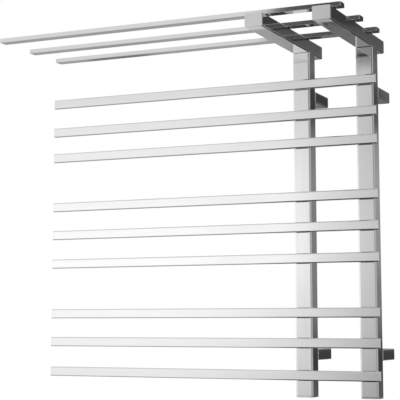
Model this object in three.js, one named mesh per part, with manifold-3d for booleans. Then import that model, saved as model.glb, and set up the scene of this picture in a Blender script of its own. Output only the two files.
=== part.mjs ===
// Wall-hung electric towel warmer rack: nine flat heated rails on two box posts, with a shelf above.
// Millimetres, +Z up. +X runs along the rails towards the posts, -Y points away from the wall.
// The origin is the centre of the upper left bracket's wall face, and the wall is the plane y = 0.
import * as THREE from 'three';
import { mergeVertices } from 'three/addons/utils/BufferGeometryUtils.js';
import Module from 'manifold-3d';

const manifold = await Module();
manifold.setup();

// ---- driving dimensions ----
const GAP = 0.3;

const POST_WIDTH = 40;
const POST_DEPTH = 40;
const POST_HEIGHT = 775;
const POST_RADIUS = 3.5;
const POST_WALL = 2;
const POST_SPACING = 150;

const BRACKET_WIDTH = 40;
const BRACKET_HEIGHT = 25;
const BRACKET_REACH = 88;
const BRACKET_RADIUS = 2.5;
const BRACKET_WALL = 2;
const BRACKET_WALL_CLEARANCE = 0.5;
const UPPER_BRACKET_ABOVE_FOOT = 677.5;
const LOWER_BRACKET_ABOVE_FOOT = 90.5;

const RAIL_LENGTH = 830;
const RAIL_HEIGHT = 22;
const RAIL_THICKNESS = 10;
const RAIL_RADIUS = 2;
const RAIL_WALL = 1.5;
const RAIL_OVERHANG = 10;
const RAIL_END_EASE = 0.6;
// Undersides of the rails above the posts' feet, from the top rail down, in three groups of three.
const RAIL_UNDERSIDES = [689, 618, 554, 432, 363, 293, 172, 105, 34];
const LEAD_HOLE_RADIUS = 5;

const ARM_WIDTH = 40;
const ARM_HEIGHT = 30;
const ARM_RADIUS = 3;
const ARM_WALL = 2;
const ARM_FRONT_REACH = 285;
const ARM_REAR_REACH = 90;
const ARM_CAP_THICKNESS = 3;
const ARM_CAP_PLUG = 9;
const ARM_CAP_WALL = 2;
const PLUG_OVERLAP = 0.5;
const PLUG_RADIUS = 1;

const SHELF_BAR_DEPTH = 25;
const SHELF_BAR_HEIGHT = 10;
const SHELF_BAR_RADIUS = 0.8;
const SHELF_BAR_OVERHANG = 15;
const SHELF_BAR_FRONTS = [-264, -136, -16];
const DRAIN_RADIUS = 2;

const BASE_DEPTH = 22;
const BASE_SCREW_SPACING = 22;
const BASE_SCREW_HOLE = 2.25;
const BASE_SCREW_HEAD = 4.2;
const BASE_SCREW_HEAD_DEPTH = 5;
const CABLE_HOLE_RADIUS = 5.5;
const GRUB_RADIUS = 2;
const GRUB_LENGTH = 6;
const SHORT_GRUB_LENGTH = 3;
const GRUB_RECESS = 0.4;
const GRUB_FROM_WALL = 10;
const GRUB_SEAT = 4.4;

const PLUG_THICKNESS = 6;
const FOOT_CAP_THICKNESS = 3;
const FOOT_CAP_PLUG = 10;
const FOOT_CAP_WALL = 3;
const ARM_SCREW_RADIUS = 3;
const ARM_SCREW_SHANK = 16;
const ARM_SCREW_HEAD = 4;

const HEATER_RADIUS = 2.5;
const HEATER_END_GAP = 6;
const HEATER_LEAD = 15;
const HARNESS_RADIUS = 3;
const SUPPLY_RADIUS = 2.5;
const CABLE_BEND = 9;
const CABLE_SIDES = 8;
const TERMINAL_ABOVE_GLAND = 46;
const TERMINAL_WIDTH = 22;
const TERMINAL_DEPTH = 14;
const TERMINAL_HEIGHT = 30;
const TERMINAL_PITCH = 6.5;
const TERMINAL_ROW = 6;
const EARTH_SCREW_ABOVE_TERMINAL = 34;
const CUT_OUT_ABOVE_FOOT = 330;
const CUT_OUT_RADIUS = 8;
const CUT_OUT_DEPTH = 5;

const ARC_STEPS = 2;
const ROUND_SIDES = 16;

// ---- places worked out from them ----
const WALL_Y = 0;
const POST_BACK_Y = -BRACKET_REACH;
const POST_FRONT_Y = POST_BACK_Y - POST_DEPTH;
const POST_MID_Y = (POST_BACK_Y + POST_FRONT_Y) / 2;
const FOOT_Z = -UPPER_BRACKET_ABOVE_FOOT;
const POST_TOP_Z = FOOT_Z + POST_HEIGHT;
const ARM_MID_Z = POST_TOP_Z + GAP + ARM_HEIGHT / 2;
const SHELF_Z = POST_TOP_Z + GAP + ARM_HEIGHT + GAP + SHELF_BAR_HEIGHT / 2;
const LOWER_BRACKET_Z = FOOT_Z + LOWER_BRACKET_ABOVE_FOOT;
const TERMINAL_Z = LOWER_BRACKET_Z + TERMINAL_ABOVE_GLAND;
const LEFT_X = 0;
const RIGHT_X = POST_SPACING;
const RAIL_RIGHT_X = RIGHT_X + POST_WIDTH / 2 + RAIL_OVERHANG;
const RAIL_MID_X = RAIL_RIGHT_X - RAIL_LENGTH / 2;
const RAIL_HEIGHTS = RAIL_UNDERSIDES.map((underside) => FOOT_Z + underside + RAIL_HEIGHT / 2);
const RAIL_MID_Y = POST_FRONT_Y - GAP - RAIL_THICKNESS / 2;
const SHELF_MID_X = RIGHT_X + POST_WIDTH / 2 + SHELF_BAR_OVERHANG - RAIL_LENGTH / 2;
const SIDES = [
  ['left', LEFT_X],
  ['right', RIGHT_X],
];

// ---- finishes ----
function finish(colour, roughness, metalness) {
  return () => new THREE.MeshStandardMaterial({ color: colour, roughness, metalness });
}

const mirrorSteel = finish(0xd4d6d8, 0.08, 1.0);
const zincSteel = finish(0xa9acaf, 0.35, 1.0);
const blackOxide = finish(0x26272a, 0.45, 0.9);
const blackPlastic = finish(0x1b1c1e, 0.55, 0.0);
const whiteNylon = finish(0xe6e4de, 0.5, 0.0);
const siliconeRed = finish(0x9b2f22, 0.6, 0.0);

// ---- solids ----
function toSolid(geometry) {
  const bare = geometry.index ? geometry.toNonIndexed() : geometry.clone();
  bare.deleteAttribute('normal');
  bare.deleteAttribute('uv');
  const merged = mergeVertices(bare, 1e-4);
  return new manifold.Manifold(new manifold.Mesh({
    numProp: 3,
    vertProperties: new Float32Array(merged.attributes.position.array),
    triVerts: new Uint32Array(merged.index.array),
  }));
}

function toGeometry(solid) {
  const mesh = solid.getMesh();
  const geometry = new THREE.BufferGeometry();
  geometry.setAttribute('position', new THREE.BufferAttribute(mesh.vertProperties, 3));
  geometry.setIndex(new THREE.BufferAttribute(mesh.triVerts, 1));
  geometry.computeVertexNormals();
  return geometry;
}

function cut(body, ...tools) {
  return tools.reduce((rest, tool) => rest.subtract(tool), body);
}

function join(body, ...others) {
  return others.reduce((whole, other) => whole.add(other), body);
}

function roundedOutline(width, height, radius) {
  const outline = new THREE.Shape();
  const x = width / 2 - radius;
  const y = height / 2 - radius;
  outline.absarc(x, y, radius, 0, Math.PI / 2);
  outline.absarc(-x, y, radius, Math.PI / 2, Math.PI);
  outline.absarc(-x, -y, radius, Math.PI, Math.PI * 1.5);
  outline.absarc(x, -y, radius, Math.PI * 1.5, Math.PI * 2);
  outline.closePath();
  return outline;
}

// A rounded bar centred on the origin, its length along X, Y or Z, its ends eased by a small bevel.
function bar(axis, width, height, radius, length, ease = 0) {
  const outline = roundedOutline(width - 2 * ease, height - 2 * ease, radius - ease);
  const geometry = new THREE.ExtrudeGeometry(outline, {
    depth: length - 2 * ease,
    curveSegments: ARC_STEPS,
    bevelEnabled: ease > 0,
    bevelThickness: ease,
    bevelSize: ease,
    bevelSegments: 2,
  });
  geometry.translate(0, 0, -length / 2 + ease);
  if (axis === 'x') {
    // width is along Y and height along Z
    geometry.rotateY(Math.PI / 2);
    geometry.rotateX(Math.PI / 2);
  } else if (axis === 'y') {
    // width is along X and height along Z
    geometry.rotateX(Math.PI / 2);
  }
  return toSolid(geometry);
}

function block(width, depth, height) {
  return toSolid(new THREE.BoxGeometry(width, depth, height));
}

function rod(axis, radius, length, sides = ROUND_SIDES) {
  const geometry = new THREE.CylinderGeometry(radius, radius, length, sides);
  if (axis === 'x') geometry.rotateZ(Math.PI / 2);
  if (axis === 'z') geometry.rotateX(Math.PI / 2);
  return toSolid(geometry);
}

function at(solid, x, y, z) {
  return solid.translate([x, y, z]);
}

// A round cable along a list of points joined by small bends.
function cable(points, radius) {
  const path = new THREE.CurvePath();
  let from = points[0];
  for (let i = 1; i < points.length - 1; i += 1) {
    const into = points[i].clone().sub(points[i - 1]).setLength(CABLE_BEND);
    const out = points[i + 1].clone().sub(points[i]).setLength(CABLE_BEND);
    const start = points[i].clone().sub(into);
    const end = points[i].clone().add(out);
    path.add(new THREE.LineCurve3(from, start));
    path.add(new THREE.QuadraticBezierCurve3(start, points[i], end));
    from = end;
  }
  path.add(new THREE.LineCurve3(from, points[points.length - 1]));
  const section = new THREE.Shape();
  section.absarc(0, 0, radius, 0, Math.PI * 2);
  const length = path.getLength();
  const geometry = new THREE.ExtrudeGeometry(section, {
    extrudePath: path,
    steps: Math.min(80, Math.ceil(length / (radius * 4))),
    curveSegments: CABLE_SIDES,
    bevelEnabled: false,
  });
  return toSolid(geometry);
}

// ---- the rack ----
const rack = new THREE.Group();

function place(name, solid, material) {
  const mesh = new THREE.Mesh(toGeometry(solid), material());
  mesh.name = name;
  rack.add(mesh);
}

function post(x, isWired) {
  const mid = (FOOT_Z + POST_TOP_Z) / 2;
  const inner = bar(
    'z',
    POST_WIDTH - 2 * POST_WALL,
    POST_DEPTH - 2 * POST_WALL,
    POST_RADIUS - POST_WALL,
    POST_HEIGHT + 2,
  );
  const outer = bar('z', POST_WIDTH, POST_DEPTH, POST_RADIUS, POST_HEIGHT);
  const tube = at(cut(outer, inner), x, POST_MID_Y, mid);
  if (!isWired) return tube;
  const leadHole = rod('y', LEAD_HOLE_RADIUS, POST_WALL * 3);
  const cableHole = rod('y', CABLE_HOLE_RADIUS, POST_WALL * 3);
  return cut(
    tube,
    ...RAIL_HEIGHTS.map((z) => at(leadHole, x, POST_FRONT_Y + POST_WALL / 2, z)),
    at(cableHole, x, POST_BACK_Y - POST_WALL / 2, LOWER_BRACKET_Z),
  );
}

function footCap(x) {
  const plate = bar('z', POST_WIDTH, POST_DEPTH, POST_RADIUS, FOOT_CAP_THICKNESS);
  const fit = 2 * (POST_WALL + GAP);
  const plug = bar('z', POST_WIDTH - fit, POST_DEPTH - fit, PLUG_RADIUS, FOOT_CAP_PLUG);
  const hollowFit = fit + 2 * FOOT_CAP_WALL;
  const hollow = block(POST_WIDTH - hollowFit, POST_DEPTH - hollowFit, FOOT_CAP_PLUG);
  const body = cut(
    join(plate, at(plug, 0, 0, (FOOT_CAP_THICKNESS + FOOT_CAP_PLUG) / 2 - PLUG_OVERLAP)),
    at(hollow, 0, 0, FOOT_CAP_THICKNESS + FOOT_CAP_PLUG / 2),
  );
  return at(body, x, POST_MID_Y, FOOT_Z - GAP - FOOT_CAP_THICKNESS / 2);
}

function topPlug(x) {
  const fit = 2 * (POST_WALL + GAP);
  const plug = bar('z', POST_WIDTH - fit, POST_DEPTH - fit, PLUG_RADIUS, PLUG_THICKNESS);
  const body = cut(plug, rod('z', ARM_SCREW_RADIUS + GAP, PLUG_THICKNESS * 2));
  return at(body, x, POST_MID_Y, POST_TOP_Z - PLUG_THICKNESS / 2);
}

function armScrew(x) {
  const shank = at(rod('z', ARM_SCREW_RADIUS, ARM_SCREW_SHANK), 0, 0, -ARM_SCREW_SHANK / 2);
  const head = at(rod('z', ARM_SCREW_RADIUS * 1.8, ARM_SCREW_HEAD), 0, 0, ARM_SCREW_HEAD / 2 - 0.2);
  const socket = at(rod('z', ARM_SCREW_RADIUS * 0.9, ARM_SCREW_HEAD, 6), 0, 0, ARM_SCREW_HEAD);
  const body = cut(join(shank, head), socket);
  return at(body, x, POST_MID_Y, POST_TOP_Z + GAP + ARM_WALL + GAP + 0.2);
}

function arm(x) {
  const frontY = POST_FRONT_Y - ARM_FRONT_REACH + ARM_CAP_THICKNESS + GAP;
  const rearY = POST_FRONT_Y + ARM_REAR_REACH - ARM_CAP_THICKNESS - GAP;
  const length = rearY - frontY;
  const outer = bar('y', ARM_WIDTH, ARM_HEIGHT, ARM_RADIUS, length);
  const innerWidth = ARM_WIDTH - 2 * ARM_WALL;
  const innerHeight = ARM_HEIGHT - 2 * ARM_WALL;
  const inner = bar('y', innerWidth, innerHeight, ARM_RADIUS - ARM_WALL, length + 2);
  const tube = at(cut(outer, inner), x, (frontY + rearY) / 2, ARM_MID_Z);
  const screwHole = rod('z', ARM_SCREW_RADIUS + GAP, ARM_WALL * 3);
  return cut(tube, at(screwHole, x, POST_MID_Y, ARM_MID_Z - ARM_HEIGHT / 2 + ARM_WALL / 2));
}

// facing is -1 for the cap on the room end of the arm and +1 for the one on the wall end.
function armCap(x, facing) {
  const reach = facing < 0 ? -ARM_FRONT_REACH : ARM_REAR_REACH;
  const outerY = POST_FRONT_Y + reach;
  const fit = 2 * (ARM_WALL + GAP);
  const plate = bar('y', ARM_WIDTH, ARM_HEIGHT, ARM_RADIUS, ARM_CAP_THICKNESS);
  const plug = bar('y', ARM_WIDTH - fit, ARM_HEIGHT - fit, PLUG_RADIUS, ARM_CAP_PLUG);
  const hollowFit = fit + 2 * ARM_CAP_WALL;
  const hollow = block(ARM_WIDTH - hollowFit, ARM_CAP_PLUG, ARM_HEIGHT - hollowFit);
  const body = cut(
    join(plate, at(plug, 0, -facing * ((ARM_CAP_THICKNESS + ARM_CAP_PLUG) / 2 - PLUG_OVERLAP), 0)),
    at(hollow, 0, -facing * (ARM_CAP_THICKNESS + ARM_CAP_PLUG / 2), 0),
  );
  return at(body, x, outerY - facing * ARM_CAP_THICKNESS / 2, ARM_MID_Z);
}

function rail(z) {
  const outer = bar('x', RAIL_THICKNESS, RAIL_HEIGHT, RAIL_RADIUS, RAIL_LENGTH, RAIL_END_EASE);
  const walls = 2 * RAIL_WALL;
  const hollow = block(RAIL_LENGTH - walls, RAIL_THICKNESS - walls, RAIL_HEIGHT - walls);
  const leadHole = rod('y', LEAD_HOLE_RADIUS, RAIL_WALL * 3);
  const leadX = RIGHT_X - RAIL_MID_X;
  return at(
    cut(outer, hollow, at(leadHole, leadX, RAIL_THICKNESS / 2 - RAIL_WALL / 2, 0)),
    RAIL_MID_X,
    RAIL_MID_Y,
    z,
  );
}

// The element lies along the rail and turns back through the lead hole into the right post.
function railHeater(z) {
  const farX = RAIL_RIGHT_X - RAIL_LENGTH + RAIL_WALL + HEATER_END_GAP;
  const element = at(rod('x', HEATER_RADIUS, RIGHT_X - farX, 8), (RIGHT_X + farX) / 2, RAIL_MID_Y, z);
  const lead = at(rod('y', HEATER_RADIUS, HEATER_LEAD, 8), RIGHT_X, RAIL_MID_Y + HEATER_LEAD / 2, z);
  const elbow = at(toSolid(new THREE.SphereGeometry(HEATER_RADIUS, 8, 6)), RIGHT_X, RAIL_MID_Y, z);
  return join(element, lead, elbow);
}

// A shelf bar is a closed flat tube whose underside has a small drain hole over the left arm.
function shelfBar(frontY) {
  const outer = bar('x', SHELF_BAR_DEPTH, SHELF_BAR_HEIGHT, SHELF_BAR_RADIUS, RAIL_LENGTH, RAIL_END_EASE);
  const walls = 2 * RAIL_WALL;
  const hollow = block(RAIL_LENGTH - walls, SHELF_BAR_DEPTH - walls, SHELF_BAR_HEIGHT - walls);
  const drainZ = -SHELF_BAR_HEIGHT / 2 + RAIL_WALL / 2;
  const drain = at(rod('z', DRAIN_RADIUS, RAIL_WALL * 3), LEFT_X - SHELF_MID_X, 0, drainZ);
  const midY = POST_FRONT_Y + frontY + SHELF_BAR_DEPTH / 2;
  return at(cut(outer, hollow, drain), SHELF_MID_X, midY, SHELF_Z);
}

function bracket(x, z) {
  const frontY = POST_BACK_Y + GAP;
  const rearY = WALL_Y - BRACKET_WALL_CLEARANCE;
  const length = rearY - frontY;
  const innerWidth = BRACKET_WIDTH - 2 * BRACKET_WALL;
  const innerHeight = BRACKET_HEIGHT - 2 * BRACKET_WALL;
  const outer = bar('y', BRACKET_WIDTH, BRACKET_HEIGHT, BRACKET_RADIUS, length);
  const inner = bar('y', innerWidth, innerHeight, BRACKET_RADIUS - BRACKET_WALL, length + 2);
  const tube = at(cut(outer, inner), x, (frontY + rearY) / 2, z);
  const grubHole = rod('z', GRUB_RADIUS + GAP, BRACKET_WALL * 3);
  return cut(tube, at(grubHole, x, WALL_Y - GRUB_FROM_WALL, z - BRACKET_HEIGHT / 2 + BRACKET_WALL / 2));
}

// The block that is screwed to the wall, and that the bracket's open end slides over.
function wallBase(x, z, takesCable) {
  const fit = 2 * (BRACKET_WALL + GAP);
  const core = bar('y', BRACKET_WIDTH - fit, BRACKET_HEIGHT - fit, PLUG_RADIUS, BASE_DEPTH);
  const tools = [];
  for (const side of [-1, 1]) {
    const screwX = side * BASE_SCREW_SPACING / 2;
    tools.push(at(rod('y', BASE_SCREW_HOLE, BASE_DEPTH * 2), screwX, 0, 0));
    tools.push(at(rod('y', BASE_SCREW_HEAD, BASE_DEPTH), screwX, -BASE_SCREW_HEAD_DEPTH, 0));
  }
  if (takesCable) {
    tools.push(rod('y', CABLE_HOLE_RADIUS, BASE_DEPTH * 2));
  }
  const grubY = BASE_DEPTH / 2 - GRUB_FROM_WALL;
  tools.push(at(rod('z', GRUB_RADIUS + GAP, GRUB_SEAT * 2), 0, grubY, -(BRACKET_HEIGHT - fit) / 2));
  return at(cut(core, ...tools), x, WALL_Y - BASE_DEPTH / 2, z);
}

function grubScrew(x, z, length) {
  const socket = rod('z', GRUB_RADIUS * 0.55, 2, 6);
  const body = cut(rod('z', GRUB_RADIUS, length, 12), at(socket, 0, 0, -length / 2));
  return at(body, x, WALL_Y - GRUB_FROM_WALL, z - BRACKET_HEIGHT / 2 + GRUB_RECESS + length / 2);
}

function cableGland(x, z) {
  const bodyLength = BASE_DEPTH + 4;
  const nutDepth = 3;
  const body = join(
    at(rod('y', CABLE_HOLE_RADIUS - GAP, bodyLength), 0, -bodyLength / 2, 0),
    at(rod('y', CABLE_HOLE_RADIUS + 1.2, nutDepth, 6), 0, -bodyLength + nutDepth / 2, 0),
  );
  return at(cut(body, rod('y', SUPPLY_RADIUS + GAP, bodyLength * 3)), x, WALL_Y - 0.2, z);
}

function supplyLead() {
  const topZ = TERMINAL_Z - TERMINAL_HEIGHT / 2 - GAP;
  return cable([
    new THREE.Vector3(RIGHT_X, WALL_Y - 4, LOWER_BRACKET_Z),
    new THREE.Vector3(RIGHT_X, POST_MID_Y, LOWER_BRACKET_Z),
    new THREE.Vector3(RIGHT_X, POST_MID_Y, topZ),
  ], SUPPLY_RADIUS);
}

function terminalBlock() {
  const screwWell = rod('y', 2.2, 8, 12);
  const wells = [];
  for (const column of [-1, 0, 1]) {
    for (const row of [-1, 1]) {
      wells.push(at(screwWell, TERMINAL_PITCH * column, -TERMINAL_DEPTH / 2, TERMINAL_ROW * row));
    }
  }
  const body = cut(block(TERMINAL_WIDTH, TERMINAL_DEPTH, TERMINAL_HEIGHT), ...wells);
  return at(body, RIGHT_X, POST_MID_Y, TERMINAL_Z);
}

function harness() {
  const bottomZ = TERMINAL_Z + TERMINAL_HEIGHT / 2 + GAP;
  const topZ = RAIL_HEIGHTS[0] + 6;
  return cable([
    new THREE.Vector3(RIGHT_X, POST_MID_Y, bottomZ),
    new THREE.Vector3(RIGHT_X, POST_MID_Y, topZ),
  ], HARNESS_RADIUS);
}

function thermalCutOut() {
  const disc = rod('y', CUT_OUT_RADIUS, CUT_OUT_DEPTH);
  const earThickness = 1.2;
  const ears = block(CUT_OUT_RADIUS * 2.5, earThickness, CUT_OUT_RADIUS);
  const body = join(disc, at(ears, 0, (CUT_OUT_DEPTH - earThickness) / 2, 0));
  const y = POST_BACK_Y - POST_WALL - GAP - CUT_OUT_DEPTH / 2;
  return at(body, RIGHT_X, y, FOOT_Z + CUT_OUT_ABOVE_FOOT);
}

function earthScrew() {
  const shankLength = 8;
  const shank = rod('x', 2, shankLength, 12);
  const head = at(rod('x', 4, 3, 6), -5, 0, 0);
  const x = RIGHT_X + POST_WIDTH / 2 - POST_WALL - GAP - shankLength / 2;
  return at(join(shank, head), x, POST_MID_Y, TERMINAL_Z + EARTH_SCREW_ABOVE_TERMINAL);
}

for (const [side, x] of SIDES) {
  place(`${side}_post`, post(x, side === 'right'), mirrorSteel);
  place(`${side}_post_foot_cap`, footCap(x), mirrorSteel);
  place(`${side}_post_top_plug`, topPlug(x), zincSteel);
  place(`${side}_shelf_arm`, arm(x), mirrorSteel);
  place(`${side}_shelf_arm_screw`, armScrew(x), zincSteel);
  place(`${side}_arm_front_cap`, armCap(x, -1), mirrorSteel);
  place(`${side}_arm_rear_cap`, armCap(x, 1), mirrorSteel);
}

RAIL_HEIGHTS.forEach((z, index) => {
  place(`heated_rail_${index + 1}`, rail(z), mirrorSteel);
  place(`rail_heater_${index + 1}`, railHeater(z), siliconeRed);
});

SHELF_BAR_FRONTS.forEach((frontY, index) => {
  place(`shelf_bar_${index + 1}`, shelfBar(frontY), mirrorSteel);
});

for (const [level, z] of [['upper', 0], ['lower', LOWER_BRACKET_Z]]) {
  for (const [side, x] of SIDES) {
    const takesCable = level === 'lower' && side === 'right';
    place(`${level}_${side}_bracket`, bracket(x, z), mirrorSteel);
    place(`${level}_${side}_wall_base`, wallBase(x, z, takesCable), zincSteel);
    const screwLength = takesCable ? SHORT_GRUB_LENGTH : GRUB_LENGTH;
    place(`${level}_${side}_grub_screw`, grubScrew(x, z, screwLength), blackOxide);
  }
}

place('cable_gland', cableGland(RIGHT_X, LOWER_BRACKET_Z), blackPlastic);
place('supply_lead', supplyLead(), blackPlastic);
place('terminal_block', terminalBlock(), whiteNylon);
place('heater_harness', harness(), siliconeRed);
place('thermal_cut_out', thermalCutOut(), blackPlastic);
place('earth_screw', earthScrew(), zincSteel);

export default rack;
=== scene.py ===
import math

import bmesh
import bpy
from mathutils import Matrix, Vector


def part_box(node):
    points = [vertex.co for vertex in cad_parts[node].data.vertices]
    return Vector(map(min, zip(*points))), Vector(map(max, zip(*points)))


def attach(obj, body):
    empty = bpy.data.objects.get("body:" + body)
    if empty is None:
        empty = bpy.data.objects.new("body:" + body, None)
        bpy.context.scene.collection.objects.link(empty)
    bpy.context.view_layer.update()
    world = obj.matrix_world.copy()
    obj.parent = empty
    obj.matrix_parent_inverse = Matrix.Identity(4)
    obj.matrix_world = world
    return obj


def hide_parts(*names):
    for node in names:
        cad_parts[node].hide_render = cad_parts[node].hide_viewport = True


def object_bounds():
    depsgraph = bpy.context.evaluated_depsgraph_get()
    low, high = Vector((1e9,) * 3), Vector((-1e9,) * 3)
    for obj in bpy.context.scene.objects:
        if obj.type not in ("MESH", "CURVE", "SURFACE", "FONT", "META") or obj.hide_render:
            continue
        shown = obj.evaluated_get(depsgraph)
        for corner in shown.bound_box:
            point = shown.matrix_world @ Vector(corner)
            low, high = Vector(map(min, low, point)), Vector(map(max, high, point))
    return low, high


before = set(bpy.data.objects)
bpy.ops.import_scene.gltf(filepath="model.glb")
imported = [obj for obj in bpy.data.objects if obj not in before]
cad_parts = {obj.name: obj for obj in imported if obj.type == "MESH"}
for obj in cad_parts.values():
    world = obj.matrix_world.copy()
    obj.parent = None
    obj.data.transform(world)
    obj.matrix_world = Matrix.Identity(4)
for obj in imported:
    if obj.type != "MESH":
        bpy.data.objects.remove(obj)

cad_low, cad_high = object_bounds()
scene = bpy.context.scene
MM = 0.001

# Which of the three directions a bar runs along, and the two across it.
ACROSS = {"x": (0, 1, 2), "y": (1, 0, 2), "z": (2, 0, 1)}


# ---- shader graphs ----
class Graph:
    """A node tree with short ways of adding and joining nodes."""

    def __init__(self, tree):
        self.tree = tree
        tree.nodes.clear()

    def add(self, kind, settings=None, **inputs):
        node = self.tree.nodes.new("ShaderNode" + kind)
        for key, value in (settings or {}).items():
            setattr(node, key, value)
        for key, value in inputs.items():
            self.feed(node.inputs[key.replace("_", " ")], value)
        return node

    def feed(self, socket, value):
        if isinstance(value, bpy.types.NodeSocket):
            self.tree.links.new(value, socket)
        else:
            socket.default_value = value

    def math(self, operation, *values, clamp=False):
        node = self.tree.nodes.new("ShaderNodeMath")
        node.operation = operation
        node.use_clamp = clamp
        for socket, value in zip(node.inputs, values):
            self.feed(socket, value)
        return node.outputs[0]

    def ramp(self, value, *stops):
        node = self.tree.nodes.new("ShaderNodeValToRGB")
        while len(node.color_ramp.elements) < len(stops):
            node.color_ramp.elements.new(0.5)
        for element, (position, colour) in zip(node.color_ramp.elements, stops):
            element.position = position
            element.color = (*colour, 1)
        self.feed(node.inputs[0], value)
        return node.outputs[0]

    def fit(self, value, from_low, from_high, to_low, to_high, smooth=False):
        node = self.tree.nodes.new("ShaderNodeMapRange")
        node.interpolation_type = "SMOOTHSTEP" if smooth else "LINEAR"
        for socket, number in zip(node.inputs, (value, from_low, from_high, to_low, to_high)):
            self.feed(socket, number)
        return node.outputs[0]

    def noise(self, where, scale, detail=3.0, rough=0.5):
        return self.add("TexNoise", Vector=where, Scale=scale, Detail=detail, Roughness=rough).outputs[0]

    def stretched(self, scale):
        """Object coordinates, squeezed by a scale for each direction."""
        place = self.add("TexCoord").outputs["Object"]
        return self.add("Mapping", Vector=place, Scale=scale).outputs[0]


def new_material(name):
    material = bpy.data.materials.new(name)
    material.use_nodes = True
    graph = Graph(material.node_tree)
    shader = graph.add("BsdfPrincipled")
    out = graph.add("OutputMaterial")
    graph.feed(out.inputs["Surface"], shader.outputs[0])
    return material, graph, shader


def mirror_steel(name, grain, rough=0.035, tint=0.86):
    """Polished stainless steel: fine buffing lines along the bar, faint smears and a slight waviness."""
    material, graph, shader = new_material(name)
    along = {"x": (9, 900, 900), "y": (900, 9, 900), "z": (900, 900, 9)}[grain]
    broad = {"x": (5, 260, 260), "y": (260, 5, 260), "z": (260, 260, 5)}[grain]
    slow = {"x": (4, 30, 30), "y": (30, 4, 30), "z": (30, 30, 4)}[grain]
    lines = graph.noise(graph.stretched(along), 1.0, 4.0)
    cloud = graph.noise(graph.stretched((1, 1, 1)), 26.0, 4.0, 0.6)
    smear = graph.noise(graph.stretched(slow), 1.6, 3.0, 0.55)
    streak = graph.noise(graph.stretched(broad), 1.0, 2.0, 0.6)
    worn = graph.math("MULTIPLY_ADD", streak, 0.5, graph.math("MULTIPLY", cloud, 0.25))
    worn = graph.math("MULTIPLY_ADD", lines, 0.25, worn)
    low, high = tint - 0.045, tint + 0.035
    colour = graph.ramp(worn, (0.3, (low, low, low)), (0.7, (high, high, high)))
    graph.feed(shader.inputs["Base Color"], colour)
    shader.inputs["Metallic"].default_value = 1.0
    dull = graph.math("ADD", graph.fit(smear, 0.35, 0.75, 0.0, 0.03), graph.fit(lines, 0.3, 0.7, 0.0, 0.02))
    graph.feed(shader.inputs["Roughness"], graph.math("ADD", dull, rough))
    wave = graph.noise(graph.stretched(tuple(v * 0.35 for v in slow)), 1.0, 1.0)
    height = graph.math("ADD", graph.math("MULTIPLY", wave, 1.0), graph.math("MULTIPLY", lines, 0.004))
    bump = graph.add("Bump", Strength=0.12, Distance=0.0006, Height=height)
    graph.feed(shader.inputs["Normal"], bump.outputs[0])
    return material


def zinc_steel():
    """Zinc-plated steel: spangled, satin and slightly yellow in places."""
    material, graph, shader = new_material("zinc_plated")
    place = graph.stretched((1, 1, 1))
    spangle = graph.add("TexVoronoi", Vector=place, Scale=420.0).outputs[0]
    stain = graph.noise(place, 60.0, 4.0)
    mixed = graph.math("ADD", graph.math("MULTIPLY", spangle, 0.5), graph.math("MULTIPLY", stain, 0.5))
    graph.feed(
        shader.inputs["Base Color"],
        graph.ramp(mixed, (0.2, (0.46, 0.46, 0.45)), (0.6, (0.60, 0.60, 0.58)), (0.9, (0.66, 0.64, 0.56))),
    )
    shader.inputs["Metallic"].default_value = 1.0
    graph.feed(shader.inputs["Roughness"], graph.fit(mixed, 0.1, 0.9, 0.28, 0.46))
    bump = graph.add("Bump", Strength=0.25, Distance=0.0001, Height=spangle)
    graph.feed(shader.inputs["Normal"], bump.outputs[0])
    return material


def dull_solid(name, dark, light, rough, grit, metal=0.0, depth=0.00008):
    """A moulded or coated surface: two close shades, a fine grit and rubbed patches."""
    material, graph, shader = new_material(name)
    place = graph.stretched((1, 1, 1))
    fine = graph.noise(place, grit, 5.0, 0.6)
    broad = graph.noise(place, 45.0, 3.0)
    both = graph.math("ADD", graph.math("MULTIPLY", fine, 0.4), graph.math("MULTIPLY", broad, 0.6))
    graph.feed(shader.inputs["Base Color"], graph.ramp(both, (0.32, dark), (0.68, light)))
    shader.inputs["Metallic"].default_value = metal
    graph.feed(shader.inputs["Roughness"], graph.fit(broad, 0.3, 0.7, rough - 0.06, rough + 0.08))
    bump = graph.add("Bump", Strength=0.35, Distance=depth, Height=fine)
    graph.feed(shader.inputs["Normal"], bump.outputs[0])
    return material


STEEL = {axis: mirror_steel(f"mirror_steel_{axis}", axis) for axis in "xyz"}
# Weld beads in darkened steel. The welds are real, but their dark tint is painted shade: a dark line that
# stands in for the shade where the rails meet the posts and at the other joints.
WELD_WITH_PAINTED_SHADE = mirror_steel("mirror_steel_weld_painted_shade", "x", 0.3, 0.3)
ZINC = zinc_steel()
OXIDE = dull_solid("black_oxide", (0.012, 0.012, 0.014), (0.035, 0.035, 0.038), 0.42, 900.0, 0.85)
PLASTIC = dull_solid("black_plastic", (0.010, 0.010, 0.011), (0.022, 0.022, 0.024), 0.5, 1400.0)
NYLON = dull_solid("white_nylon", (0.70, 0.69, 0.65), (0.82, 0.81, 0.77), 0.46, 1100.0)
SILICONE = dull_solid("red_silicone", (0.27, 0.030, 0.018), (0.36, 0.052, 0.032), 0.58, 1600.0)


# ---- solids ----
def outline(half_u, half_v, radius, steps=7):
    """Points round a rounded rectangle, corner by corner."""
    points = []
    for corner, (side_u, side_v) in enumerate(((1, 1), (-1, 1), (-1, -1), (1, -1))):
        for step in range(steps + 1):
            turn = math.pi / 2 * (corner + step / steps)
            u = side_u * (half_u - radius) + radius * math.cos(turn)
            v = side_v * (half_v - radius) + radius * math.sin(turn)
            points.append((u, v))
    return points


def loft(mesh, rings):
    """Joins closed rings of points with faces and closes both ends."""
    made = [[mesh.verts.new(point) for point in ring] for ring in rings]
    count = len(made[0])
    faces = [mesh.faces.new(made[0]), mesh.faces.new(reversed(made[-1]))]
    for near, far in zip(made, made[1:]):
        for i in range(count):
            j = (i + 1) % count
            faces.append(mesh.faces.new((near[j], near[i], far[i], far[j])))
    return faces


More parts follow.
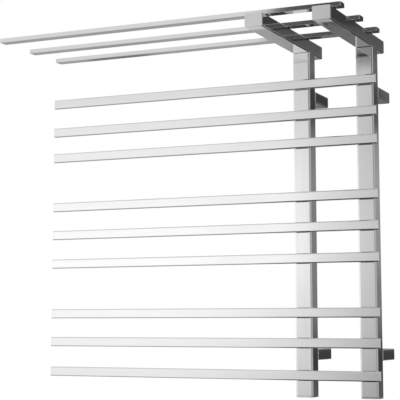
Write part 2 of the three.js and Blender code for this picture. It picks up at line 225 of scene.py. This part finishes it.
def bar(mesh, axis, low, high, radius, ends, steps=7):
    """A rounded bar filling the box from low to high. ends lists (distance from the end, inset) pairs."""
    along, u, v = ACROSS[axis]
    middle = (low + high) / 2
    half = (high - low) / 2
    stations = [(low[along] + d, inset) for d, inset in ends]
    stations += [(high[along] - d, inset) for d, inset in reversed(ends)]
    rings = []
    for place, inset in stations:
        ring = []
        for du, dv in outline(half[u] - inset, half[v] - inset, max(radius - inset, radius * 0.2), steps):
            point = Vector((0, 0, 0))
            point[along], point[u], point[v] = place, middle[u] + du, middle[v] + dv
            ring.append(point)
        rings.append(ring)
    return loft(mesh, rings)


def rod(mesh, axis, centre, profile, sides=32):
    """A round bar about centre. profile lists (offset along the axis, radius) pairs."""
    along, u, v = ACROSS[axis]
    rings = []
    for offset, radius in profile:
        ring = []
        for i in range(sides):
            angle = 2 * math.pi * i / sides
            point = Vector(centre)
            point[along] += offset
            point[u] += radius * math.cos(angle)
            point[v] += radius * math.sin(angle)
            ring.append(point)
        rings.append(ring)
    return loft(mesh, rings)


def eased(ease, steps=4):
    """End stations that turn a bar's edge over with a quarter round."""
    turns = [math.pi / 2 * i / steps for i in range(steps + 1)]
    return [(ease * (1 - math.cos(turn)), ease * (1 - math.sin(turn))) for turn in turns]


def seamed(ease, seam_at, width, depth):
    """Eased end stations followed by a fine groove where an end plate meets the tube."""
    groove = [(-width, 0.0), (-width / 3, depth), (width / 3, depth), (width, 0.0)]
    return eased(ease) + [(seam_at + offset, inset) for offset, inset in groove]


def to_object(name, mesh, material):
    mesh.normal_update()
    bmesh.ops.recalc_face_normals(mesh, faces=mesh.faces)
    if mesh.calc_volume(signed=True) < 0:
        bmesh.ops.reverse_faces(mesh, faces=mesh.faces)
    data = bpy.data.meshes.new(name)
    mesh.to_mesh(data)
    mesh.free()
    made = bpy.data.objects.new(name, data)
    data.materials.append(material)
    scene.collection.objects.link(made)
    return made


def cut(body, *tools):
    """Takes each tool, a bmesh of closed solids, out of the object."""
    for tool in tools:
        cutter = to_object("cutter", tool, body.data.materials[0])
        change = body.modifiers.new("cut", "BOOLEAN")
        change.operation = "DIFFERENCE"
        change.solver = "EXACT"
        change.object = cutter
        graph = bpy.context.evaluated_depsgraph_get()
        shaped = bpy.data.meshes.new_from_object(body.evaluated_get(graph))
        body.modifiers.clear()
        body.data = shaped
        bpy.data.objects.remove(cutter)


def weld(mesh, start, end, radius):
    """A thin rippled bead of weld from start to end."""
    line = end - start
    count = max(8, int(line.length / (radius * 0.55)))
    side = line.orthogonal().normalized()
    other = line.normalized().cross(side)
    rings = []
    for i in range(count + 1):
        share = i / count
        taper = math.sin(math.pi * min(1.0, 0.12 + min(share, 1 - share) * 9) / 2)
        size = radius * taper * (1 + 0.10 * math.sin(i * 1.9) + 0.05 * math.sin(i * 0.73))
        centre = start + line * share
        rings.append([
            centre + side * size * math.cos(math.pi * k / 5) + other * size * math.sin(math.pi * k / 5)
            for k in range(10)
        ])
    return loft(mesh, rings)


def finish_piece(piece, slot, *nodes):
    piece.data.polygons.foreach_set("use_smooth", [True] * len(piece.data.polygons))
    piece.data.set_sharp_from_angle(angle=math.radians(38))
    soften = piece.modifiers.new("weighted_normals", "WEIGHTED_NORMAL")
    soften.keep_sharp = True
    soften.weight = 100
    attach(piece, "root")
    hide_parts(*nodes)
    return piece


def add_welds(piece, runs, radius):
    """Adds weld beads to a piece, in a darkened steel whose dark tint is painted shade along the joints.
    Known fault: their faces point inwards.
    """
    beads = bmesh.new()
    for start, end in runs:
        weld(beads, start, end, radius)
    for face in beads.faces:
        face.material_index = 1
    beads_data = bpy.data.meshes.new("beads")
    beads.to_mesh(beads_data)
    beads.free()
    piece.data.materials.append(WELD_WITH_PAINTED_SHADE)
    whole = bmesh.new()
    whole.from_mesh(piece.data)
    whole.from_mesh(beads_data)
    whole.to_mesh(piece.data)
    whole.free()
    bpy.data.meshes.remove(beads_data)


def grown(low, high, amount):
    grow = Vector(amount)
    return low - grow, high + grow


POST_RADIUS, POST_WALL = 3.5 * MM, 2 * MM
ARM_RADIUS, ARM_WALL = 3 * MM, 2 * MM
BRACKET_RADIUS, BRACKET_WALL = 2.5 * MM, 2 * MM
RAIL_RADIUS, RAIL_WALL = 2.6 * MM, 1.5 * MM
BAR_RADIUS = 0.8 * MM
# The photo shows no lean. It only brings the tone of the shelf bars' fronts closer to the photo's.
BAR_LEAN = math.tan(math.radians(3))
LEAD_HOLE, CABLE_HOLE, GRUB_HOLE = 5 * MM, 5.5 * MM, 2.3 * MM
WELD_RADIUS = 1 * MM
WELD_INSET = 4 * MM
GAP, OVERLAP = 0.3 * MM, 0.5 * MM
FOOT_PLUG_WALL, ARM_PLUG_WALL, PLUG_RADIUS = 3 * MM, 2 * MM, 1 * MM
TUBE_EASE, PLATE_EASE = 0.3 * MM, 0.6 * MM
# The photo shows a wide dark seam over the right post and only a hairline over the left one. The real posts
# are probably alike, so the difference may be only a reflection.
POST_EASE = {"left": 0.35 * MM, "right": 0.9 * MM}
ARM_SCREW_HOLE, DRAIN_HOLE = 3.3 * MM, 2 * MM
# Where a rail's or bar's end plate meets its tube: distance from the end, half width and depth of the groove.
END_SEAM = 1.6 * MM, 0.12 * MM, 0.05 * MM
GRUB_RIM = 0.45 * MM
THREAD_PITCH, THREAD_DEPTH, GRUB_CHAMFER = 0.5 * MM, 0.22 * MM, 0.35 * MM
SOCKET_DEPTH, SOCKET_TIP = 1.3 * MM, 1.7 * MM

posts = {side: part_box(f"{side}_post") for side in ("left", "right")}
arms = {side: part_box(f"{side}_shelf_arm") for side in ("left", "right")}
rails = [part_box(f"heated_rail_{i}") for i in range(1, 10)]
bars = [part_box(f"shelf_bar_{i}") for i in range(1, 4)]


def post(side):
    low, high = posts[side]
    body = bmesh.new()
    bar(body, "z", low, high, POST_RADIUS, eased(POST_EASE[side]))
    piece = to_object(f"{side}_post_tube", body, STEEL["z"])
    bore = bmesh.new()
    bar(bore, "z", *grown(low, high, (-POST_WALL, -POST_WALL, POST_WALL)), POST_RADIUS - POST_WALL, [(0, 0)])
    cut(piece, bore)
    if side == "right":
        holes = bmesh.new()
        middle = (low + high) / 2
        for rail_low, rail_high in rails:
            z = (rail_low.z + rail_high.z) / 2
            rod(holes, "y", (middle.x, low.y, z), [(-POST_WALL, LEAD_HOLE), (POST_WALL * 2, LEAD_HOLE)], 24)
        lower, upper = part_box("lower_right_bracket")
        z = (lower.z + upper.z) / 2
        rod(holes, "y", (middle.x, high.y, z), [(-POST_WALL * 2, CABLE_HOLE), (POST_WALL, CABLE_HOLE)], 24)
        cut(piece, holes)
    finish_piece(piece, "mirror_steel", f"{side}_post")


def foot_cap(side):
    node = f"{side}_post_foot_cap"
    low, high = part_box(node)
    plate_top = posts[side][0].z - GAP
    body = bmesh.new()
    bar(body, "z", low, Vector((high.x, high.y, plate_top)), POST_RADIUS, eased(0.5 * MM))
    inset = POST_WALL + GAP
    plug_low = Vector((low.x + inset, low.y + inset, plate_top - OVERLAP))
    plug_high = Vector((high.x - inset, high.y - inset, high.z))
    bar(body, "z", plug_low, plug_high, PLUG_RADIUS, eased(0.4 * MM))
    piece = to_object(f"{side}_foot_cap_plate", body, STEEL["z"])
    hollow = bmesh.new()
    hollow_low = plug_low + Vector((FOOT_PLUG_WALL, FOOT_PLUG_WALL, 2 * MM))
    hollow_high = plug_high + Vector((-FOOT_PLUG_WALL, -FOOT_PLUG_WALL, 1 * MM))
    bar(hollow, "z", hollow_low, hollow_high, PLUG_RADIUS, [(0, 0)])
    # Known fault: this cut loses the plug and leaves the hollow's surface as a closed shell.
    cut(piece, hollow)
    finish_piece(piece, "mirror_steel", node)


def arm(side):
    low, high = arms[side]
    body = bmesh.new()
    bar(body, "y", low, high, ARM_RADIUS, eased(TUBE_EASE, 3))
    piece = to_object(f"{side}_arm_tube", body, STEEL["y"])
    bore = bmesh.new()
    bar(bore, "y", *grown(low, high, (-ARM_WALL, ARM_WALL, -ARM_WALL)), ARM_RADIUS - ARM_WALL, [(0, 0)])
    post_low, post_high = posts[side]
    middle = (post_low + post_high) / 2
    hole = bmesh.new()
    through = [(-ARM_WALL, ARM_SCREW_HOLE), (ARM_WALL * 2, ARM_SCREW_HOLE)]
    rod(hole, "z", (middle.x, middle.y, low.z), through, 24)
    cut(piece, bore, hole)
    finish_piece(piece, "mirror_steel", f"{side}_shelf_arm")


def arm_cap(side, end):
    node = f"{side}_arm_{end}_cap"
    low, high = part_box(node)
    tube_low, tube_high = arms[side]
    inset = Vector((ARM_WALL + GAP, 0, ARM_WALL + GAP))
    body = bmesh.new()
    plate_low, plate_high = low.copy(), high.copy()
    plug_low, plug_high = low + inset, high - inset
    if end == "front":
        plate_high.y = tube_low.y - GAP
        plug_low.y = plate_high.y - OVERLAP
    else:
        plate_low.y = tube_high.y + GAP
        plug_high.y = plate_low.y + OVERLAP
    bar(body, "y", plate_low, plate_high, ARM_RADIUS, eased(PLATE_EASE))
    bar(body, "y", plug_low, plug_high, PLUG_RADIUS, eased(TUBE_EASE))
    piece = to_object(f"{side}_arm_{end}_plate", body, STEEL["y"])
    hollow = bmesh.new()
    wall = Vector((ARM_PLUG_WALL, 0, ARM_PLUG_WALL))
    hollow_low, hollow_high = plug_low + wall, plug_high - wall
    if end == "front":
        hollow_low.y += 1.5 * MM
        hollow_high.y += 1 * MM
    else:
        hollow_low.y -= 1 * MM
        hollow_high.y -= 1.5 * MM
    bar(hollow, "y", hollow_low, hollow_high, PLUG_RADIUS, [(0, 0)])
    # Known fault: at the front this cut loses the plug and leaves the hollow's surface as a closed shell.
    cut(piece, hollow)
    finish_piece(piece, "mirror_steel", node)


def rail(index):
    node = f"heated_rail_{index + 1}"
    low, high = rails[index]
    body = bmesh.new()
    bar(body, "x", low, high, RAIL_RADIUS, seamed(PLATE_EASE, *END_SEAM), 8)
    piece = to_object(f"rail_{index + 1}_tube", body, STEEL["x"])
    hollow = bmesh.new()
    bar(hollow, "x", *grown(low, high, (-RAIL_WALL,) * 3), 0.5 * MM, [(0, 0)], 2)
    holes = bmesh.new()
    post_low, post_high = posts["right"]
    x, z = (post_low.x + post_high.x) / 2, (low.z + high.z) / 2
    rod(holes, "y", (x, high.y, z), [(-RAIL_WALL * 2, LEAD_HOLE), (RAIL_WALL, LEAD_HOLE)], 24)
    cut(piece, hollow, holes)
    runs = []
    for post_low, post_high in posts.values():
        for edge in (low.z + 0.1 * MM, high.z - 0.1 * MM):
            y = high.y - 0.8 * MM
            runs.append((
                Vector((post_low.x + WELD_INSET, y, edge)),
                Vector((post_high.x - WELD_INSET, y, edge)),
            ))
    add_welds(piece, runs, WELD_RADIUS)
    finish_piece(piece, "mirror_steel", node)


def shelf_bar(index):
    node = f"shelf_bar_{index + 1}"
    low, high = bars[index]
    body = bmesh.new()
    bar(body, "x", low, high, BAR_RADIUS, seamed(PLATE_EASE, *END_SEAM), 8)
    for vertex in body.verts:
        if vertex.co.y < (low.y + high.y) / 2:
            vertex.co.y += BAR_LEAN * (vertex.co.z - low.z)
    piece = to_object(f"bar_{index + 1}_tube", body, STEEL["x"])
    hollow = bmesh.new()
    bar(hollow, "x", *grown(low, high, (-RAIL_WALL,) * 3), 0.5 * MM, [(0, 0)], 2)
    drain = bmesh.new()
    arm_low, arm_high = arms["left"]
    centre = ((arm_low.x + arm_high.x) / 2, (low.y + high.y) / 2, low.z)
    rod(drain, "z", centre, [(-RAIL_WALL, DRAIN_HOLE), (RAIL_WALL * 2, DRAIN_HOLE)], 24)
    cut(piece, hollow, drain)
    runs = []
    for arm_low, arm_high in arms.values():
        for y in (low.y + 0.5 * MM, high.y - 0.5 * MM):
            z = low.z + 0.4 * MM
            runs.append((
                Vector((arm_low.x + WELD_INSET, y, z)),
                Vector((arm_high.x - WELD_INSET, y, z)),
            ))
    add_welds(piece, runs, WELD_RADIUS)
    finish_piece(piece, "mirror_steel", node)


def bracket(level, side):
    node = f"{level}_{side}_bracket"
    low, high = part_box(node)
    body = bmesh.new()
    bar(body, "y", low, high, BRACKET_RADIUS, eased(TUBE_EASE, 3))
    piece = to_object(f"{level}_{side}_bracket_tube", body, STEEL["y"])
    bore = bmesh.new()
    room = (-BRACKET_WALL, BRACKET_WALL, -BRACKET_WALL)
    bar(bore, "y", *grown(low, high, room), BRACKET_RADIUS - BRACKET_WALL, [(0, 0)])
    screw_low, screw_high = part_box(f"{level}_{side}_grub_screw")
    middle = (screw_low + screw_high) / 2
    hole = bmesh.new()
    rod(hole, "z", (middle.x, middle.y, low.z), [
        (-1 * MM, GRUB_HOLE + GRUB_RIM + 1 * MM),
        (0, GRUB_HOLE + GRUB_RIM),
        (GRUB_RIM, GRUB_HOLE),
        (BRACKET_WALL * 2, GRUB_HOLE),
    ], 40)
    cut(piece, bore, hole)
    left, right, y = low.x + WELD_INSET, high.x - WELD_INSET, low.y + 0.4 * MM
    runs = [
        (Vector((left, y, z)), Vector((right, y, z)))
        for z in (low.z + 0.5 * MM, high.z - 0.5 * MM)
    ]
    add_welds(piece, runs, WELD_RADIUS)
    finish_piece(piece, "mirror_steel", node)


def grub_screw(level, side):
    node = f"{level}_{side}_grub_screw"
    low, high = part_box(node)
    centre = (low + high) / 2
    radius = (high.x - low.x) / 2
    half = (high.z - low.z) / 2
    body = bmesh.new()
    profile = [(-half, radius - GRUB_CHAMFER), (-half + GRUB_CHAMFER, radius)]
    turns = int((2 * half - 1 * MM) / THREAD_PITCH)
    for i in range(turns):
        base = -half + 0.5 * MM + i * THREAD_PITCH
        profile += [(base, radius), (base + THREAD_PITCH * 0.5, radius - THREAD_DEPTH)]
    profile += [(half - GRUB_CHAMFER, radius), (half, radius - 0.5 * MM)]
    rod(body, "z", centre, profile, 36)
    piece = to_object(f"{level}_{side}_grub_screw_body", body, OXIDE)
    socket = bmesh.new()
    rod(socket, "z", (centre.x, centre.y, low.z), [
        (-1 * MM, radius * 0.55),
        (SOCKET_DEPTH, radius * 0.55),
        (SOCKET_TIP, radius * 0.1),
    ], 6)
    cut(piece, socket)
    finish_piece(piece, "black_oxide", node)


for side in ("left", "right"):
    post(side)
    foot_cap(side)
    arm(side)
    arm_cap(side, "front")
    arm_cap(side, "rear")
    for level in ("upper", "lower"):
        bracket(level, side)
        grub_screw(level, side)
for index in range(len(rails)):
    rail(index)
for index in range(len(bars)):
    shelf_bar(index)

# ---- the inner parts, which keep their own shapes ----
INNER = {
    "zinc_steel": (ZINC, ["post_top_plug", "shelf_arm_screw", "wall_base", "earth_screw"], 0.35 * MM),
    "black_plastic": (PLASTIC, ["cable_gland", "supply_lead", "thermal_cut_out"], 0.2 * MM),
    "white_nylon": (NYLON, ["terminal_block"], 0.5 * MM),
    "silicone": (SILICONE, ["rail_heater", "heater_harness"], 0.2 * MM),
}
for slot, (material, kinds, ease) in INNER.items():
    for name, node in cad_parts.items():
        if any(kind in name for kind in kinds):
            node.data.materials.clear()
            node.data.materials.append(material)
            soften = node.modifiers.new("eased_edges", "BEVEL")
            soften.width = ease
            soften.segments = 2
            soften.limit_method = "ANGLE"
            soften.angle_limit = math.radians(50)
            soften.harden_normals = True

# ---- surroundings ----
FLOOR_DROP = 0.37
FLOOR_RADIUS = 2.6
centre = (cad_low + cad_high) / 2


def floor():
    ground = bmesh.new()
    bmesh.ops.create_circle(ground, cap_ends=True, segments=128, radius=FLOOR_RADIUS)
    material, graph, shader = new_material("pale_floor")
    place = graph.stretched((1, 1, 1))
    tone = graph.noise(place, 3.0, 5.0)
    colour = graph.ramp(tone, (0.3, (0.84, 0.84, 0.84)), (0.7, (0.87, 0.87, 0.87)))
    graph.feed(shader.inputs["Base Color"], colour)
    shader.inputs["Roughness"].default_value = 0.8
    made = to_object("pale_floor", ground, material)
    made.location = (centre.x, centre.y, cad_low.z - FLOOR_DROP)
    made.visible_glossy = False


class Sky(Graph):
    """A world lit by direction, in degrees.

    turn is 0 straight in front of the rack, 90 to its left, -90 to its right and 180 behind it.
    rise is above the horizon. side is the direction's share along +X.
    """

    def __init__(self, tree):
        super().__init__(tree)
        direction = self.add("TexCoord").outputs["Generated"]
        self.side, depth, height = self.add("SeparateXYZ", Vector=direction).outputs
        degrees = 180 / math.pi
        ahead = self.math("ARCTAN2", self.times(self.side, -1.0), self.times(depth, -1.0))
        self.turn = self.times(ahead, degrees)
        self.rise = self.times(self.math("ARCSINE", height), degrees)

    def times(self, first, second):
        return self.math("MULTIPLY", first, second)

    def step(self, value, none, full):
        """Climbs smoothly from 0 where value is none to 1 where it is full."""
        return self.fit(value, none, full, 0, 1, True)

    def between(self, value, start, full, fade, end):
        return self.times(self.step(value, start, full), self.step(value, end, fade))

    def patch(self, turns, rises):
        """1 inside a patch of the studio and 0 outside. Each window is (start, full, fade, end)."""
        return self.times(self.between(self.turn, *turns), self.between(self.rise, *rises))

    def curve(self, value, *stops):
        """A level that follows value through (value, level) stops."""
        low, high = stops[0][0], stops[-1][0]
        share = self.math("DIVIDE", self.math("SUBTRACT", value, low), high - low, clamp=True)
        return self.ramp(share, *[((at - low) / (high - low), (level,) * 3) for at, level in stops])

    def blend(self, under, over, share):
        return self.math("ADD", under, self.times(self.math("SUBTRACT", over, under), share))

    def lift(self, level, share, amount):
        """Makes level brighter by amount of itself where share is 1."""
        return self.math("MULTIPLY_ADD", self.times(level, share), amount, level)


# Peak, edge, slant, fade and rise, and the power in softbox(), are a least-squares fit to the photo's tones.
SOFTBOX_PEAK, SOFTBOX_LEAST = 1.164, 0.42
SOFTBOX_EDGE, SOFTBOX_SLANT, SOFTBOX_FADE = 27.65, 0.166, 0.00495
SOFTBOX_RISE, SOFTBOX_SPREAD = 3.0, 15.8


def softbox(sky):
    """The large light in front: full on the left and a little above the horizon, fading to the right."""
    slanted = sky.math("MULTIPLY_ADD", sky.rise, SOFTBOX_SLANT, sky.turn)
    past_edge = sky.math("MAXIMUM", sky.math("SUBTRACT", SOFTBOX_EDGE, slanted), 0.0)
    across = sky.math("MULTIPLY_ADD", sky.times(past_edge, past_edge), -SOFTBOX_FADE, SOFTBOX_PEAK)
    across = sky.math("MAXIMUM", across, SOFTBOX_LEAST)
    off = sky.math("ABSOLUTE", sky.math("SUBTRACT", sky.rise, SOFTBOX_RISE))
    off = sky.math("POWER", sky.math("DIVIDE", off, SOFTBOX_SPREAD), 1.5)
    upright = sky.math("EXPONENT", sky.times(off, -1.0))
    return sky.times(sky.times(across, upright), sky.fit(sky.turn, 100, 150, 1.0, 0.6, True))


def ceiling(sky, level):
    """The bright ceiling, with the dark flags that hang below it in front and to the right."""
    white = sky.curve(sky.turn, (-180, 0.5), (-60, 0.55), (0, 0.7), (22, 0.78), (60, 0.78), (180, 0.5))
    level = sky.blend(level, white, sky.step(sky.rise, 13, 18))
    wide = sky.patch((-45, -35, 21.9, 22.7), (15.2, 16.6, 26, 32))
    deep = sky.patch((-45, -35, 0, 10), (8, 12, 26, 32))
    level = sky.blend(level, 0.09, sky.math("MAXIMUM", wide, deep))
    # what the top of the right post mirrors: a grey band, a darker one over it, and a black wedge
    band = (5, 10, 18.3, 18.8)
    level = sky.blend(level, 0.33, sky.patch(band, (11.48, 11.56, 13, 14)))
    level = sky.blend(level, 0.18, sky.patch(band, (11.8, 11.86, 13, 14)))
    return sky.blend(level, 0.02, sky.patch((17.65, 17.85, 18.5, 18.8), (11.8, 11.86, 12.04, 12.12)))


def highlights(sky, level):
    """Two brighter patches, one that the left post mirrors and one that the top rails' right ends mirror."""
    level = sky.lift(level, sky.patch((19.6, 20.2, 21.4, 23), (0, 3, 6.5, 9.5)), 0.09)
    top = sky.times(sky.between(sky.rise, 8.8, 10.7, 11.3, 11.5), sky.step(sky.turn, 19.9, 19.5))
    return sky.lift(level, top, 0.13)


def ground(sky, level):
    """The room below the softbox: light to the left, grey to the right, and dark underfoot on the right."""
    near = sky.curve(sky.turn, (-180, 0.25), (0, 0.28), (18.4, 0.3), (19.8, 0.8), (110, 0.8), (180, 0.4))
    near = sky.times(near, sky.fit(sky.rise, -20, -60, 1.0, 0.45, True))
    level = sky.blend(level, near, sky.step(sky.rise, -3.5, -8))
    underfoot = sky.times(sky.step(sky.rise, -14, -20), sky.step(sky.side, -0.39, -0.345))
    level = sky.blend(level, 0.02, underfoot)
    return sky.blend(level, 0.48, sky.between(sky.turn, -165, -150, -85, -45))


def behind_right(sky, level):
    """Behind the rack to the right, mirrored by the right sides of the posts, arms and brackets."""
    wall = sky.curve(
        sky.rise,
        (-20, 0.05), (-6, 0.05), (-4, 0.13), (-2.6, 0.10), (-1.9, 0.045), (-1.1, 0.05), (-0.3, 0.15),
        (1, 0.21), (5, 0.22), (6.4, 0.26), (8.5, 0.18), (9.5, 0.043), (10.5, 0.05), (11.4, 0.16),
        (12.2, 0.10), (13.2, 0.09), (13.4, 0.045), (20, 0.06), (30, 0.35),
    )
    right_post = sky.times(sky.step(sky.turn, -161.3, -162.0), sky.between(sky.rise, 1.5, 3.2, 8.0, 9.0))
    wall = sky.lift(wall, right_post, 0.45)
    bracket_end = sky.times(sky.step(sky.turn, -163.0, -163.5), sky.between(sky.rise, 9.0, 9.4, 10.8, 11.2))
    wall = sky.lift(wall, bracket_end, 1.8)
    share = sky.times(sky.between(sky.turn, -172, -167, -154, -148), sky.step(sky.rise, 40, 20))
    return sky.blend(level, wall, share)


def behind_left(sky, level):
    """Behind the rack to the left, mirrored by the undersides of the rails, arms and bars."""
    rails = sky.curve(sky.turn, (140, 0.34), (151, 0.32), (156, 0.14), (160.5, 0.05), (180, 0.05))
    shelf = sky.curve(sky.turn, (140, 0.38), (159.0, 0.37), (160.8, 0.17), (164, 0.15), (180, 0.15))
    wall = sky.blend(rails, shelf, sky.step(sky.rise, -9.0, -9.8))
    streak = sky.patch((149.8, 150.4, 152.2, 153.5), (-12.25, -12.1, -11.75, -11.5))
    wall = sky.blend(wall, 0.08, streak)
    above = sky.times(sky.step(sky.rise, -1, 1), sky.step(sky.turn, 160.9, 160.4))
    wall = sky.blend(wall, 0.75, above)
    far = sky.step(sky.turn, 158.3, 158.7)
    wall = sky.blend(wall, 0.45, sky.times(far, sky.step(sky.rise, -13.8, -13.95)))
    wall = sky.blend(wall, 0.035, sky.times(far, sky.between(sky.rise, -13.95, -13.8, -13.4, -13.2)))
    share = sky.times(sky.between(sky.turn, 138, 146, 166, 171), sky.step(sky.rise, 40, 20))
    return sky.blend(level, wall, share)


def surroundings():
    """Light by direction, set so that each face mirrors the photo's tone, and plain white to the camera.

    It isn't plain studio light. Its narrow marks fall where the photo has them only in the photo's view.
    """
    world = bpy.data.worlds.new("studio")
    world.use_nodes = True
    scene.world = world
    sky = Sky(world.node_tree)
    level = softbox(sky)
    for part in (ceiling, highlights, ground, behind_right, behind_left):
        level = part(sky, level)
    studio = sky.add("Background", Strength=level)
    studio.inputs["Color"].default_value = (0.99, 0.99, 0.99, 1)
    white = sky.add("Background")
    white.inputs["Color"].default_value = (1, 1, 1, 1)
    mixed = sky.add("MixShader")
    sky.feed(mixed.inputs[0], sky.add("LightPath").outputs["Is Camera Ray"])
    sky.feed(mixed.inputs[1], studio.outputs[0])
    sky.feed(mixed.inputs[2], white.outputs[0])
    out = sky.add("OutputWorld")
    sky.feed(out.inputs["Surface"], mixed.outputs[0])


def overhead_light():
    light = bpy.data.lights.new("overhead", "SUN")
    light.energy = 2.6
    light.angle = math.radians(25)
    made = bpy.data.objects.new("overhead", light)
    made.visible_glossy = False
    scene.collection.objects.link(made)


# Low and to the right of the rack, looking up and to the left.
CAMERA_PLACE = 0.9949, -2.8229, -0.5210
CAMERA_UP, CAMERA_TURN = 7.379, 24.885


def camera():
    data = bpy.data.cameras.new("camera")
    data.sensor_width = 36
    data.lens = 114.5
    data.shift_y = -0.1
    data.clip_start = 0.05
    data.clip_end = 50
    made = bpy.data.objects.new("camera", data)
    made.location = CAMERA_PLACE
    made.rotation_euler = (math.radians(90 + CAMERA_UP), 0, math.radians(CAMERA_TURN))
    scene.collection.objects.link(made)
    scene.camera = made


floor()
surroundings()
overhead_light()
camera()
scene.view_settings.view_transform = "Standard"
